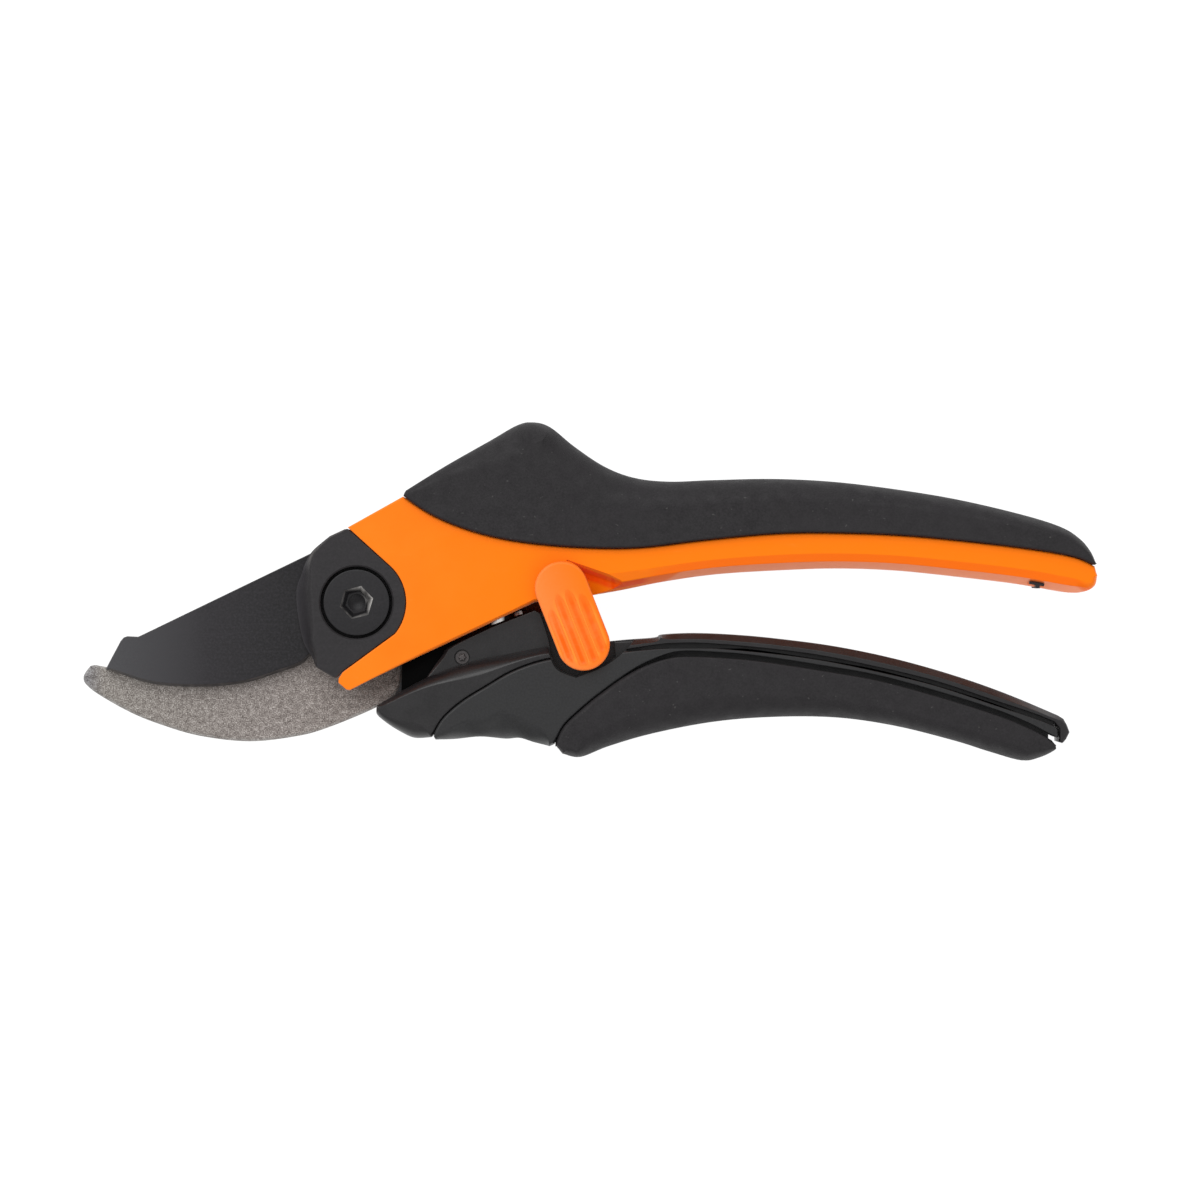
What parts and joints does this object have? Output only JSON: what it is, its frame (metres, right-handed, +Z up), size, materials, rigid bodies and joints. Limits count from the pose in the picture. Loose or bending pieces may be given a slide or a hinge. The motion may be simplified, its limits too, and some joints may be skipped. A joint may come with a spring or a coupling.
{
  "type": "bypass pruner",
  "caption": "One-hand bypass pruner with a curved cutting blade passing a hooked counter blade, orange and black grips, a return spring and a swinging lock catch.",
  "frame": {"origin": "under the middle of the closed tool, on the surface it lies on", "axes": "+X from the blades to the handle ends, +Y from the lower handle to the upper handle, +Z up through the tool's thickness"},
  "size_m": [0.2054, 0.0686, 0.0196],
  "materials": {
    "orange_nylon": "satin moulded nylon",
    "black_rubber": "matt, finely textured",
    "blasted_steel": "bead-blasted, speckled grey",
    "bright_steel": "plain bright steel",
    "cover_plate": "satin black",
    "black_oxide_steel": "satin black oxide",
    "bronze": "oil-filled sintered bronze",
    "acetal": "natural acetal",
    "black_nylon": "satin black moulding",
    "soft_sleeve": "smooth semi-matt black moulding",
    "black_coated_steel": "low-friction black coating"
  },
  "bodies": {
    "upper_handle": {"upper_handle_body": "orange_nylon", "upper_grip": "black_rubber", "counter_blade": "blasted_steel", "hook_rivet_1": "bright_steel", "hook_rivet_2": "bright_steel", "pivot_cover_front": "cover_plate", "pivot_cover_back": "cover_plate", "pivot_bolt": "black_oxide_steel", "pivot_nut": "black_oxide_steel", "pivot_bush": "bronze", "pivot_washer": "acetal", "pivot_spring_washer": "bright_steel", "lock_pin": "bright_steel", "lock_wave_washer": "bright_steel", "spring_seat_upper": "acetal", "return_spring": "bright_steel"},
    "lower_handle": {"lower_handle_core": "black_nylon", "lower_handle_sleeve": "soft_sleeve", "lower_grip": "black_rubber", "cutting_blade": "black_coated_steel", "blade_rivet_front": "bright_steel", "blade_rivet_rear": "bright_steel", "spring_seat_lower": "acetal"},
    "lock": {"lock_catch": "orange_nylon"}
  },
  "joints": [
    {"name": "handle_pivot", "type": "hinge", "parent": "upper_handle", "child": "lower_handle", "pos_m": [-0.047, -0.00226, 0.009], "axis": [0, 0, -1], "range_deg": [0, 34], "deforming": ["return_spring"]},
    {"name": "lock_catch_pivot", "type": "hinge", "parent": "upper_handle", "child": "lock", "pos_m": [-0.0057, 0.00099, 0.018], "axis": [0, 0, 1], "range_deg": [0, 62]}
  ]
}
